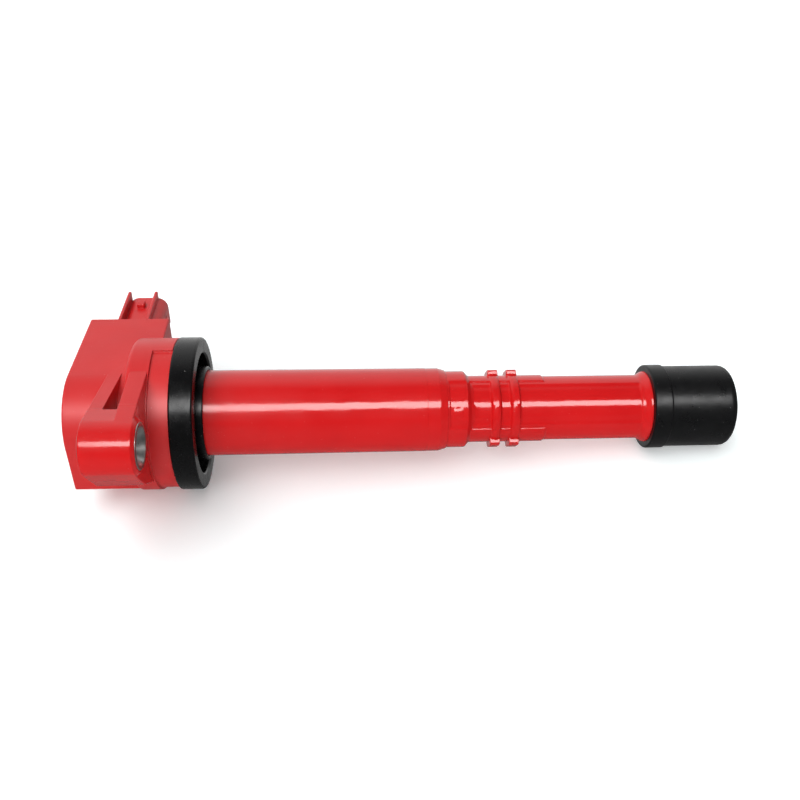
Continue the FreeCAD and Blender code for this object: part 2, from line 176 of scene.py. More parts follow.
def disc(start, end, radius, y=0.0, z=0.0, segments=144):
    turns = [2 * math.pi * number / segments for number in range(segments)]
    return prism([(y + radius * math.cos(turn), z + radius * math.sin(turn)) for turn in turns], start, end)


def softened(points, segments=5):
    """Closed (x, r) outline from (x, r, fillet) corners, with each corner rounded by its fillet."""
    path = []
    for number, (x, r, fillet) in enumerate(points):
        here = Vector((x, r))
        before = Vector(points[number - 1][:2]) - here
        after = Vector(points[(number + 1) % len(points)][:2]) - here
        if fillet == 0 or before.length < 1e-6 or after.length < 1e-6:
            path.append((x, r))
            continue
        before_way = before.normalized()
        after_way = after.normalized()
        half = before_way.angle(after_way) / 2
        reach = min(fillet / math.tan(half), 0.49 * before.length, 0.49 * after.length)
        radius = reach * math.tan(half)
        centre = here + (before_way + after_way).normalized() * (radius / math.sin(half))
        start = here + before_way * reach - centre
        finish = here + after_way * reach - centre
        sweep = start.angle_signed(finish)
        for step in range(segments + 1):
            turn = -sweep * step / segments
            path.append((centre.x + start.x * math.cos(turn) - start.y * math.sin(turn),
                         centre.y + start.x * math.sin(turn) + start.y * math.cos(turn)))
    return path


def lathe(name, points, segments=192, y=0.0, z=0.0):
    """Ring turned about the coil direction from a closed outline of (x, r, fillet) corners."""
    path = softened(points)
    count = len(path)
    verts = []
    faces = []
    for step in range(segments):
        turn = 2 * math.pi * step / segments
        for x, r in path:
            verts.append((x, y + r * math.cos(turn), z + r * math.sin(turn)))
        after = (step + 1) % segments
        for number in range(count):
            beside = (number + 1) % count
            faces.append((step * count + number, step * count + beside,
                          after * count + beside, after * count + number))
    return edit(new_object(name, verts, faces), outward)


def boolean(base, tool, operation):
    """Replace the base's mesh by its union with the tool or its difference from it, and remove the tool."""
    step = base.modifiers.new("step", "BOOLEAN")
    step.operation = operation
    step.solver = "EXACT"
    step.object = tool
    bpy.context.view_layer.update()
    graph = bpy.context.evaluated_depsgraph_get()
    made = bpy.data.meshes.new_from_object(base.evaluated_get(graph))
    base.modifiers.clear()
    base.data = made
    bpy.data.objects.remove(tool)


def add(base, *tools):
    for tool in tools:
        boolean(base, tool, "UNION")
    return base


def take(base, *tools):
    for tool in tools:
        boolean(base, tool, "DIFFERENCE")
    return base


def shade(item, angle=SHARP):
    """Smooth shading that stays flat on flat faces and sharp over real edges."""
    def change(work):
        bmesh.ops.remove_doubles(work, verts=work.verts, dist=0.002 * MM)
        bmesh.ops.dissolve_degenerate(work, edges=work.edges, dist=0.001 * MM)
        for face in work.faces:
            face.smooth = True
        for edge in work.edges:
            edge.smooth = edge.calc_face_angle(0) < angle
    edit(item, change)
    weighted = item.modifiers.new("even_normals", "WEIGHTED_NORMAL")
    weighted.keep_sharp = True
    return item


# ---- head case ----

def head_outline(inset, steps=48):
    """Head outline: square at the back and below, one large round at the front top."""
    half = HEAD_HALF - inset
    front = ROUND_Y - half
    points = [(HEAD_BACK - inset, -half), (HEAD_BACK - inset, half)]
    for step in range(steps + 1):
        turn = math.pi / 2 * (1 + step / steps)
        points.append((ROUND_Y + half * math.cos(turn), half * math.sin(turn)))
    points.append((front, -half))
    return points


def half_ring(start, end, outer, inner, steps=72):
    """Half of a ring on the front side of the coil axis."""
    turns = [math.pi * (0.5 + step / steps) for step in range(steps + 1)]
    arc = [(math.cos(turn), math.sin(turn)) for turn in turns]
    outline = [(outer * y, outer * z) for y, z in arc]
    outline += [(inner * y, inner * z) for y, z in reversed(arc)]
    return prism(outline, start, end)


def flange():
    """Disc with a soft back edge, relieved on its front half next to the seal."""
    hub = 11.0
    ring = lathe("work_flange", [
        (FLANGE_START, FLANGE_RADIUS, 1.4), (SEAL_BACK, FLANGE_RADIUS, 0.2), (SEAL_BACK, hub, 0),
        (FLANGE_START, hub, 0)])
    outer = FLANGE_RADIUS + 3
    inner = FLANGE_RADIUS - RELIEF_DEPTH
    relief = bevel(half_ring(RELIEF_START, SEAL_BACK + 1, outer, inner), 0.2)
    return add(take(ring, relief), disc(FLANGE_START, SEAL_BACK, hub + 0.5))


def arm():
    """Bolt arm with its slot between a sloping rib and a level one, and the boss with its collar."""
    edge = 0.35
    wide = BOSS_RADIUS
    above = 26
    # The upper and the lower line of the outline leave the boss along its tangents.
    outline = [(0, HEAD_HALF - 0.1), (BOSS_Y + 0.184 * wide, BOSS_Z + 0.983 * wide),
               (BOSS_Y - 0.818 * wide, BOSS_Z - 0.576 * wide), (BOSS_Y + 0.9, -1.4), (BOSS_Y + 2.6, -2.6),
               (-14.7, -11.5), (0, -11.5)]
    gusset = bevel(prism(outline, BOSS_START, BOSS_END), edge)
    slot_y = BOSS_Y + 6.9
    slot_start = BOSS_START + SLOPING_RIB
    slot_end = slot_start + SLOT_WIDTH
    slot = bevel(prism([(slot_y, above), (slot_y, -0.6), (0, -3.4), (0, above)], slot_start, slot_end), 0.4)
    level_rib = bevel(brick((slot_end, BOSS_END), (BOSS_Y, -6.5), (5.5, BOSS_Z + wide)), edge)
    boss = lathe("work_boss", [
        (BOSS_START, 3.0, 0), (BOSS_START, wide, 0.4), (BOSS_END + 0.1, wide, 0.3),
        (COLLAR_END, wide - 0.85, 0.2), (COLLAR_END, 3.0, 0)], y=BOSS_Y, z=BOSS_Z)
    return add(take(gusset, slot), level_rib, boss)


def rounded_rectangle(x, z, radius, steps=8):
    points = []
    for quarter, (cx, cz) in enumerate(((x[1], z[1]), (x[0], z[1]), (x[0], z[0]), (x[1], z[0]))):
        inner_x = cx - radius if cx == x[1] else cx + radius
        inner_z = cz - radius if cz == z[1] else cz + radius
        for step in range(steps + 1):
            turn = math.pi / 2 * (quarter + step / steps)
            points.append((inner_x + radius * math.cos(turn), inner_z + radius * math.sin(turn)))
    return points


def hood():
    """Connector hood with its guide fins and latch nub, and the web that ties it to the flange."""
    root = HEAD_BACK - 1.0
    section = rounded_rectangle((HOOD_LEFT, HOOD_RIGHT), (HOOD_LOW, HOOD_TOP), HOOD_CORNER)
    shell = bevel(prism(section, root, HOOD_MOUTH, "Y"), 0.3)
    fins = [bevel(brick((HOOD_LEFT + x, HOOD_LEFT + x + 1.0), (root, HOOD_MOUTH), (9.0, HEAD_HALF)), 0.38)
            for x in (0.1, 8.0)]
    nub = bevel(brick((HOOD_LEFT + 3.55, HOOD_LEFT + 5.85), (HOOD_MOUTH - 6.6, HOOD_MOUTH - 4.0),
                      (11.5, 13.4)), 0.4)
    end = HOOD_MOUTH - 3.1
    web = bevel(prism([(HOOD_RIGHT - 1.6, 18), (HOOD_RIGHT + 4.9, 18), (HOOD_RIGHT + 4.75, 21),
                       (HOOD_RIGHT + 0.05, end), (HOOD_RIGHT - 1.6, end)], 2.0, 8.0, "Z"), 0.5)
    return add(shell, nub, web, *fins)


def hood_hollow():
    """Inside of the hood, with the lead-in at its mouth."""
    def opening(gap):
        return rounded_rectangle((HOOD_LEFT + gap, HOOD_RIGHT - gap), (HOOD_LOW + gap, HOOD_TOP - gap),
                                 HOOD_CORNER - HOOD_WALL)
    narrow = opening(HOOD_WALL)
    wide = opening(HOOD_WALL - 0.35)
    inner = prism(narrow, HEAD_BACK + HOOD_WALL, HOOD_MOUTH + 3, "Y")
    count = len(wide)
    verts = [(x, HOOD_MOUTH - 0.5, z) for x, z in narrow] + [(x, HOOD_MOUTH + 0.05, z) for x, z in wide]
    faces = [tuple(range(count)), tuple(reversed(range(count, 2 * count)))]
    faces += [(n, (n + 1) % count, count + (n + 1) % count, count + n) for n in range(count)]
    lead = edit(new_object("work_lead", verts, faces), outward)
    return inner, lead


def head_case():
    body = bevel(prism(head_outline(0), CASE_LEFT, HEAD_FLOOR), 0.45)
    add(body, flange(), arm(), hood())
    inner, lead = hood_hollow()
    cavity = bevel(prism(head_outline(CASE_WALL), CASE_LEFT - 3, CAVITY_FLOOR), 0.6)
    bore = disc(HEAD_FLOOR - 7, SEAL_BACK + 5, SLEEVE_WIDE)
    eye = disc(BOSS_START - 5, BOSS_END + 6, BUSH_RADIUS, BOSS_Y, BOSS_Z)
    take(body, cavity, inner, lead, bore, eye)
    body.name = "case_moulding"
    return shade(body)


# ---- turned pieces ----

def sleeve():
    """Drafted tube with a fine seam near its stepped shoulder."""
    root = SLEEVE_WIDE
    slim = root - 0.2
    seam = SLEEVE_END - 5.6
    return shade(lathe("sleeve_moulding", [
        (SLEEVE_START, SLEEVE_BORE, 0), (SLEEVE_START, root, 0.2), (SEAL_BACK, root, 0),
        (seam, slim + 0.01, 0.05), (seam + 0.12, slim - 0.05, 0.05), (SHOULDER, slim - 0.06, 1.2),
        (SLEEVE_END - 0.6, slim - 0.55, 0.2), (SLEEVE_END, slim - 0.7, 0.3), (SLEEVE_END, SLEEVE_BORE, 0)],
        segments=FINE), TURNED_SHARP)


def seal():
    """Ring with a deep groove between its outer band and the hub on the sleeve."""
    groove = SEAL_BACK + 1.7
    hub = SEAL_BORE + 1.0
    return shade(lathe("seal_moulding", [
        (SEAL_BACK, SEAL_BORE, 0.2), (SEAL_BACK, SEAL_WIDE, 0.5), (SEAL_FRONT, SEAL_WIDE, 0.7),
        (SEAL_FRONT, SEAL_WIDE - 4.4, 0.6), (groove, SEAL_WIDE - 4.7, 0.7),
        (groove, hub + 0.4, 0.7), (HUB_END, hub, 0.35), (HUB_END, SEAL_BORE, 0.25)],
        segments=FINE), TURNED_SHARP)


def boot():
    """Boot with its collar step, rounded end and the sealing grooves in its bore."""
    step = BOOT_START + 4.7
    bore = BOOT_BORE
    groove = bore + 0.6
    points = [(BOOT_START, BOOT_SEAT, 0), (BOOT_START, BOOT_WIDE, 0.5), (step, BOOT_WIDE, 0.18),
              (step + 0.25, BOOT_GRIP, 0.18), (BOOT_END, BOOT_GRIP, BOOT_ROUND),
              (BOOT_END, bore + 1.5, 0.5), (BOOT_END - 1.6, bore, 0.5)]
    for middle in (BOOT_END - 4.0, BOOT_END - 7.0, BOOT_END - 10.0):
        points += [(middle + 0.8, bore, 0.3), (middle + 0.2, groove, 0.3), (middle - 0.2, groove, 0.3),
                   (middle - 0.8, bore, 0.3)]
    points += [(TOWER_END, bore, 0), (TOWER_END, BOOT_SEAT, 0)]
    return shade(lathe("boot_moulding", points, segments=FINE), TURNED_SHARP)


def bush():
    """Steel bush with a bright rim and a funnel at each end."""
    mouth = BUSH_RADIUS - 0.95
    return shade(lathe("bush_turning", [
        (BUSH_START, mouth, 0.25), (BUSH_START + FUNNEL_DEPTH, BOLT_BORE, 0.8),
        (BUSH_END - FUNNEL_DEPTH, BOLT_BORE, 0.8), (BUSH_END, mouth, 0.25), (BUSH_END, BUSH_RADIUS, 0.3),
        (BUSH_START, BUSH_RADIUS, 0.3)], segments=128, y=BOSS_Y, z=BOSS_Z), TURNED_SHARP)


# ---- tower ----

def smooth_window(value, low, high, soft):
    """1 between low and high, 0 outside, with soft edges centred on the limits."""
    rise = np.clip((value - low) / soft + 0.5, 0, 1)
    fall = np.clip((high - value) / soft + 0.5, 0, 1)
    return rise * rise * (3 - 2 * rise) * fall * fall * (3 - 2 * fall)


def soft_max(first, second, blend):
    near = np.maximum(blend - np.abs(first - second), 0) / blend
    return np.maximum(first, second) + near * near * blend / 4


def soft_min(first, second, blend):
    return -soft_max(-first, -second, blend)


def angle_from(turn, facing):
    """Angle in degrees between a direction and the nearer end of a line across the axis."""
    return np.abs((turn - facing + 90) % 180 - 90)


NECK_END = SLEEVE_END + 5.4
NECK = 10.7
RING_WIDTH = 2.8
RINGS = [(SLEEVE_END + along, SLEEVE_END + along + RING_WIDTH) for along in (12.0, 17.3)]
FLARE = BOOT_START - 2.2
SHAFT = 8.97
GATE_X = SLEEVE_END + 2.8
GATE_TURN = 149
GATE_RADIUS = 1.5
LEAN = 45
RAIL_HALF = 46
PANEL_HALF = 36.5
PANEL_START = SLEEVE_END + 7.2
RAIL_START = SLEEVE_END + 3.0
RAIL_END = SLEEVE_END + 27.5


def turned_radius(x):
    """Radius of the plain tower at a place along it, before panels, rails and rings."""
    spigot = SLEEVE_BORE - 0.07
    nose = BOOT_SEAT - 0.02
    places, radii = zip(
        (SLEEVE_END - 4, spigot), (SLEEVE_END - 0.3, spigot), (SLEEVE_END - 0.2, NECK),
        (NECK_END - 0.5, NECK), (NECK_END - 0.1, NECK - 0.15), (NECK_END + 0.5, NECK - 0.85),
        (NECK_END + 1.1, SHAFT + 0.18), (NECK_END + 1.5, SHAFT), (FLARE - 0.3, SHAFT),
        (FLARE + 0.3, SHAFT + 0.15), (BOOT_START - 0.5, SHAFT + 0.95), (BOOT_START + 0.02, SHAFT + 1.05),
        (BOOT_START + 0.03, nose), (TOWER_END, nose))
    return np.interp(x, places, radii)


def tower_radius(x, turn):
    """Outer radius of the tower at a place along it and an angle in degrees round it."""
    radius = turned_radius(x) + 0 * turn
    across_panel = smooth_window(angle_from(turn, LEAN + 90), -PANEL_HALF, PANEL_HALF, 8.0)
    along_panel = smooth_window(x, PANEL_START, FLARE - 0.6, 0.6)
    radius = radius - 0.27 * across_panel * along_panel
    radius = radius - 0.3 * across_panel * smooth_window(x, SLEEVE_END + 0.5, NECK_END - 0.1, 0.5)
    from_gate = np.hypot(x - GATE_X, SHAFT * np.radians(turn - GATE_TURN))
    radius = radius + 0.24 * np.clip(1 - (from_gate / GATE_RADIUS) ** 2, 0, 1)
    # Rails, rings and lugs rise out of a level that lies below the shaft's surface.
    low = SHAFT - 1.2
    from_rail = angle_from(turn, LEAN)
    across_rail = smooth_window(from_rail, -RAIL_HALF, RAIL_HALF, 7.0)
    rail = across_rail * smooth_window(x, RAIL_START, RAIL_END, 0.9)
    radius = soft_max(radius, low + (SHAFT + 0.36 - low) * rail, 0.4)
    for start, end in RINGS:
        ring = smooth_window(x, start, end, 1.0)
        radius = soft_max(radius, low + (SHAFT + 0.75 - low) * ring, 0.25)
        spread = np.radians(np.clip(from_rail, 0.01, 60))
        lug = soft_min((SHAFT + 1.7) / np.cos(spread), 3.6 / np.sin(spread), 0.5)
        lug_along = smooth_window(x, start - 0.1, end + 0.1, 0.45)
        radius = soft_max(radius, low + (np.minimum(lug, 10.9) - low) * lug_along, 0.2)
    return radius


def stations(low, high, coarse, edges, reach, fine):
    """Sorted places between two limits, closer together round each edge."""
    places = list(np.arange(low, high, coarse)) + [high]
    for edge in edges:
        places += list(np.arange(edge - reach, edge + reach + fine / 2, fine))
    kept = []
    for place in sorted(value for value in places if low <= value <= high):
        if not kept or place - kept[-1] > 0.4 * fine:
            kept.append(place)
    return np.array(kept)


def tower_grid():
    """Places along the tower and angles round it, closer together where the surface turns."""
    edges = [SLEEVE_END - 0.25, SLEEVE_END + 0.5, RAIL_START, NECK_END, NECK_END + 0.5, NECK_END + 1.5,
             RAIL_END, FLARE - 0.6, FLARE, BOOT_START - 0.5, BOOT_START]
    edges += [edge for ring in RINGS for edge in ring]
    edges += [GATE_X + share * GATE_RADIUS for share in (-1, -0.5, 0, 0.5, 1)]
    along = stations(SLEEVE_END - 4, TOWER_END, 1.6, edges, 0.45, 0.11)
    sides = [LEAN - 44, LEAN + 44, LEAN + 136, LEAN + 224]
    sides += [LEAN + 90 - 38.5, LEAN + 90 + 38.5, LEAN + 270 - 38.5, LEAN + 270 + 38.5]
    turns = stations(0, 360, 3, sides, 2, 0.6)
    lugs = stations(0, 360, 360, [LEAN - 20, LEAN + 20, LEAN + 160, LEAN + 200], 3.5, 0.5)
    gate = stations(0, 360, 360, [GATE_TURN], 10, 0.8)
    turns = np.unique(np.round(np.concatenate([turns, lugs[1:-1], gate[1:-1]]), 3))[:-1]
    return along, turns


def tower():
    """Tower skin from its radius formula, closed through the spring well inside it."""
    along, turns = tower_grid()
    grid_x, grid_turn = np.meshgrid(along, turns, indexing="ij")
    radius = tower_radius(grid_x, grid_turn)
    well = 5.4
    well_start = SLEEVE_END + 43.2
    guide = 3.4
    seat = SPRING_START - 2
    inside = [(TOWER_END, well + 0.4), (TOWER_END - 0.4, well), (well_start, well), (well_start, guide),
              (seat, guide), (seat, 0.6)]
    rows = [(float(x), radius[number]) for number, x in enumerate(along)]
    rows += [(x, np.full(len(turns), r)) for x, r in inside]
    verts = []
    for x, radii in rows:
        for turn, r in zip(np.radians(turns), radii):
            verts.append((x, r * math.cos(turn), r * math.sin(turn)))
    count = len(turns)
    faces = []
    for row in range(len(rows) - 1):
        for number in range(count):
            beside = (number + 1) % count
            faces.append((row * count + number, (row + 1) * count + number,
                          (row + 1) * count + beside, row * count + beside))
    faces.append(tuple(range(count)))
    faces.append(tuple(range((len(rows) - 1) * count, len(rows) * count)))
    return shade(edit(new_object("tower_moulding", verts, faces), outward), math.radians(60))


# ---- small metal pieces and the potting ----

def blade_pin(number):
    """Connector pin with bevelled sides and a tapered point."""
    low, high = span("terminal_blade_%d" % number)
    middle_x = 0.5 * (low[0] + high[0])
    middle_z = 0.5 * (low[2] + high[2])
    half = 0.5 * (high[0] - low[0])
    thick = 0.5 * (high[2] - low[2])
    end = high[1]
    rows = [(low[1], 1.0, 1.0), (end - 1.3, 1.0, 1.0), (end - 0.35, 0.8, 0.62), (end, 0.62, 0.3)]
    verts = []
    for along, across, deep in rows:
        verts += [(middle_x + sx * half * across, along, middle_z + sz * thick * deep)
                  for sx, sz in ((-1, -1), (1, -1), (1, 1), (-1, 1))]
    faces = [(0, 1, 2, 3), (15, 14, 13, 12)]
    for row in range(3):
        for side in range(4):
            beside = (side + 1) % 4
            faces.append((4 * row + side, 4 * row + beside, 4 * row + 4 + beside, 4 * row + 4 + side))
    pin = edit(new_object("contact_pin_%d" % number, verts, faces), outward)
    return shade(bevel(pin, 0.08, 2))


def potting():
    """Cured resin surface that climbs the case walls, with the skirt hidden below it."""
    snug = CASE_WALL + 0.02
    # Distance in from the head's outside, and how deep the surface lies there.
    curve = [(snug, -0.55), (2.1, -0.3), (2.25, -0.12), (2.55, -0.03), (3.1, 0.0), (5, 0.02), (9, 0.04)]
    levels = [(snug, CAVITY_FLOOR - 0.1)] + [(inset, RESIN_TOP + depth) for inset, depth in curve]
    verts = [(x, y, z) for inset, x in levels for y, z in head_outline(inset)]
    count = len(head_outline(snug))
    faces = [tuple(reversed(range(count)))]
    for row in range(len(curve)):
        for number in range(count):
            beside = (number + 1) % count
            faces.append((row * count + number, row * count + beside,
                          (row + 1) * count + beside, (row + 1) * count + number))
    faces.append(tuple(range(len(curve) * count, len(levels) * count)))
    return shade(edit(new_object("potting_fill", verts, faces), outward), math.radians(70))


def wire_tube(name, line, radius, sides=14):
    """Round wire along a line of points, with closed ends."""
    points = [Vector(point) for point in line]
    verts = []
    faces = []
    for number, point in enumerate(points):
        before = points[max(number - 1, 0)]
        after = points[min(number + 1, len(points) - 1)]
        ahead = (after - before).normalized()
        out = Vector((0, point.y, point.z)).normalized()
        side = ahead.cross(out).normalized()
        out = side.cross(ahead)
        for step in range(sides):
            turn = 2 * math.pi * step / sides
            verts.append(tuple(point + radius * (math.cos(turn) * out + math.sin(turn) * side)))
    for row in range(len(points) - 1):
        for step in range(sides):
            beside = (step + 1) % sides
            faces.append((row * sides + step, row * sides + beside,
                          (row + 1) * sides + beside, (row + 1) * sides + step))
    faces.append(tuple(range(sides)))
    faces.append(tuple(range((len(points) - 1) * sides, len(points) * sides)))
    return shade(edit(new_object(name, verts, faces), outward), TURNED_SHARP)


WIRE = 0.35
COIL_RADIUS = 2.6
COIL_TURNS = 10
TIP_TURNS = 4.0


def coil_line(start, end, turns, radius_start, radius_end, steps=44):
    """Points along a coil whose radius changes evenly from its start to its end."""
    line = []
    total = int(turns * steps)
    for number in range(total + 1):
        share = number / total
        turn = 2 * math.pi * turns * share
        radius = radius_start + (radius_end - radius_start) * share
        line.append((start + (end - start) * share, radius * math.cos(turn), radius * math.sin(turn)))
    return line


def contact_parts():
    """Contact spring with its closed first coil, and the closed end coils that meet the plug."""
    start = SPRING_START + WIRE
    seat_end = start + 0.75
    seat = coil_line(start, seat_end, 1.0, COIL_RADIUS, COIL_RADIUS)
    open_coils = coil_line(seat_end, SPRING_END - WIRE, COIL_TURNS - 1, COIL_RADIUS, COIL_RADIUS)
    spring = wire_tube("spring_wire", seat + open_coils[1:], WIRE)
    end_coils = coil_line(SPRING_END - WIRE, TIP_END - WIRE, TIP_TURNS, COIL_RADIUS, COIL_RADIUS - 0.4)
    return spring, wire_tube("spring_end_coils", end_coils, WIRE)


# ---- materials ----

class Finish:
    """A procedural material under construction."""

    def __init__(self, name):
        self.material = bpy.data.materials.new(name)
        self.material.use_nodes = True
        self.tree = self.material.node_tree
        self.shader = self.tree.nodes["Principled BSDF"]
        self.place = self.node("ShaderNodeTexCoord").outputs["Object"]

    def node(self, kind, inputs=None, **settings):
        made = self.tree.nodes.new(kind)
        for key, value in settings.items():
            setattr(made, key, value)
        for key, value in (inputs or {}).items():
            if isinstance(value, bpy.types.NodeSocket):
                self.tree.links.new(value, made.inputs[key])
            else:
                made.inputs[key].default_value = value
        return made

    def noise(self, grain, detail=3.0, stretch=(1, 1, 1), rough=0.55):
        """Noise with features of about the given size in millimetres."""
        moved = self.node("ShaderNodeMapping", {"Vector": self.place, "Scale": stretch})
        return self.node("ShaderNodeTexNoise", {"Vector": moved.outputs[0], "Scale": 1 / (grain * MM),
                                                "Detail": detail, "Roughness": rough}).outputs["Fac"]

    def ramp(self, factor, low, high):
        """Grey that rises from black at one value of the factor to white at another."""
        made = self.node("ShaderNodeValToRGB", {"Fac": factor})
        for element, where, grey in zip(made.color_ramp.elements, (low, high), (0.0, 1.0)):
            element.position = where
            element.color = (grey, grey, grey, 1)
        return made.outputs["Color"]

    def level(self, factor, low, high):
        """Map 0.3..0.7 of a noise on to a range of values."""
        made = self.node("ShaderNodeMapRange", {"Value": factor, "From Min": 0.3, "From Max": 0.7,
                                                "To Min": low, "To Max": high})
        return made.outputs[0]

    def rise(self, value, start, end, low, high):
        """Smooth change from low to high between two lengths in millimetres."""
        inputs = {"Value": value, "From Min": start * MM, "From Max": end * MM, "To Min": low, "To Max": high}
        return self.node("ShaderNodeMapRange", inputs, interpolation_type="SMOOTHSTEP").outputs[0]

    def mix(self, factor, first, second):
        made = self.node("ShaderNodeMix", {"Factor": factor}, data_type="RGBA")
        for socket, value in ((made.inputs[6], first), (made.inputs[7], second)):
            if isinstance(value, bpy.types.NodeSocket):
                self.tree.links.new(value, socket)
            else:
                socket.default_value = (*value, 1)
        return made.outputs[2]

    def math(self, operation, first, second=0.0):
        made = self.node("ShaderNodeMath", operation=operation)
        for socket, value in zip(made.inputs, (first, second)):
            if isinstance(value, bpy.types.NodeSocket):
                self.tree.links.new(value, socket)
            else:
                socket.default_value = value
        return made.outputs[0]

    def bump(self, height, depth, normal=None):
        """Bump whose full height is depth millimetres."""
        inputs = {"Height": height, "Distance": depth * MM, "Strength": 1.0}
        if normal is not None:
            inputs["Normal"] = normal
        return self.node("ShaderNodeBump", inputs).outputs[0]

    def edge_normal(self, radius):
        return self.node("ShaderNodeBevel", {"Radius": radius * MM}, samples=6).outputs[0]

    def set(self, **values):
        for key, value in values.items():
            socket = self.shader.inputs[key.replace("_", " ")]
            if isinstance(value, bpy.types.NodeSocket):
                self.tree.links.new(value, socket)
            else:
                socket.default_value = value
        return self.material


def gloss_plastic(name, colour, deep, gloss, peel, edge, zones=()):
    """Glossy moulding: slight colour drift, orange peel, fine handling marks and dulled patches.
    A zone is (axis, start, end, extra): the finish dulls by extra between two places along an axis."""
    look = Finish(name)
    drift = look.noise(14, 2)
    tint = look.mix(look.level(drift, 0.0, 1.0), colour, deep)
    specks = look.ramp(look.noise(0.5, 1), 0.76, 0.8)
    tint = look.mix(look.math("MULTIPLY", specks, 0.10), tint, (0.8, 0.6, 0.58))
    patches = look.level(look.noise(6, 4), gloss, gloss + 0.07)
    scuffs = look.ramp(look.noise(1.2, 6, (0.15, 1, 1), 0.7), 0.62, 0.72)
    rough = look.math("ADD", patches, look.math("MULTIPLY", scuffs, 0.06))
    for axis, start, end, extra in zones:
        where = look.node("ShaderNodeSeparateXYZ", {"Vector": look.place}).outputs[axis]
        rough = look.math("ADD", rough, look.rise(where, start, end, 0.0, extra))
    waves = look.bump(look.noise(2.4, 2, (0.35, 1, 1)), peel, normal=look.edge_normal(edge))
    grain = look.bump(look.noise(0.35, 2), peel * 0.06, normal=waves)
    return look.set(Base_Color=tint, Roughness=rough, Normal=grain, IOR=1.5)


def rubber(name, colour, gloss, edge):
    """Satin black rubber: fine grain, faint bloom and a few dust specks."""
    look = Finish(name)
    bloom = look.level(look.noise(5, 4), 0.0, 1.0)
    tint = look.mix(bloom, colour, tuple(value * 1.5 for value in colour))
    specks = look.ramp(look.noise(0.42, 1), 0.77, 0.80)
    tint = look.mix(look.math("MULTIPLY", specks, 0.5), tint, (0.35, 0.34, 0.33))
    rough = look.level(look.noise(3, 5), gloss, gloss + 0.12)
    skin = look.bump(look.noise(0.4, 3), 0.012, normal=look.edge_normal(edge))
    waves = look.bump(look.noise(3, 2), 0.03, normal=skin)
    return look.set(Base_Color=tint, Roughness=rough, Normal=waves, IOR=1.38, Specular_IOR_Level=0.42)


def metal(name, colour, gloss, stretch):
    """Metal with directional tool marks, stains and softened edges."""
    look = Finish(name)
    stains = look.level(look.noise(2.5, 4), 0.0, 1.0)
    tint = look.mix(stains, colour, tuple(value * 0.75 for value in colour))
    marks = look.noise(0.35, 3, stretch, 0.65)
    rough = look.math("ADD", look.level(look.noise(1.5, 4), gloss, gloss + 0.12),
                      look.math("MULTIPLY", marks, 0.08))
    lines = look.bump(marks, 0.004, normal=look.edge_normal(0.1))
    return look.set(Base_Color=tint, Roughness=rough, Normal=lines, Metallic=1.0)


def striped(name, colour, dark, pitch, gloss, depth):
    """Wound wire or stacked sheet: lines that follow one another along the coil axis at a given pitch."""
    look = Finish(name)
    wave = look.node("ShaderNodeTexWave", {"Vector": look.place, "Scale": 1 / (pitch * MM) / 6.28,
                                           "Distortion": 0.4, "Detail": 2.0, "Detail Scale": 2.0},
                     wave_type="BANDS", bands_direction="X").outputs["Fac"]
    tint = look.mix(wave, dark, colour)
    tint = look.mix(look.math("MULTIPLY", look.noise(4, 4), 0.4), tint, dark)
    rough = look.level(look.noise(2, 4), gloss, gloss + 0.15)
    return look.set(Base_Color=tint, Roughness=rough, Normal=look.bump(wave, depth), Metallic=1.0)


def dull_solid(name, colour, other, gloss, grain, depth, coat=0.0):
    """Cast, sintered or moulded matter: mottled colour, uneven gloss and a fine surface grain."""
    look = Finish(name)
    tint = look.mix(look.level(look.noise(3.5, 5), 0.0, 1.0), colour, other)
    rough = look.level(look.noise(2, 4), gloss, gloss + 0.15)
    skin = look.bump(look.noise(grain, 4), depth)
    return look.set(Base_Color=tint, Roughness=rough, Normal=skin, Coat_Weight=coat, Coat_Roughness=0.08)


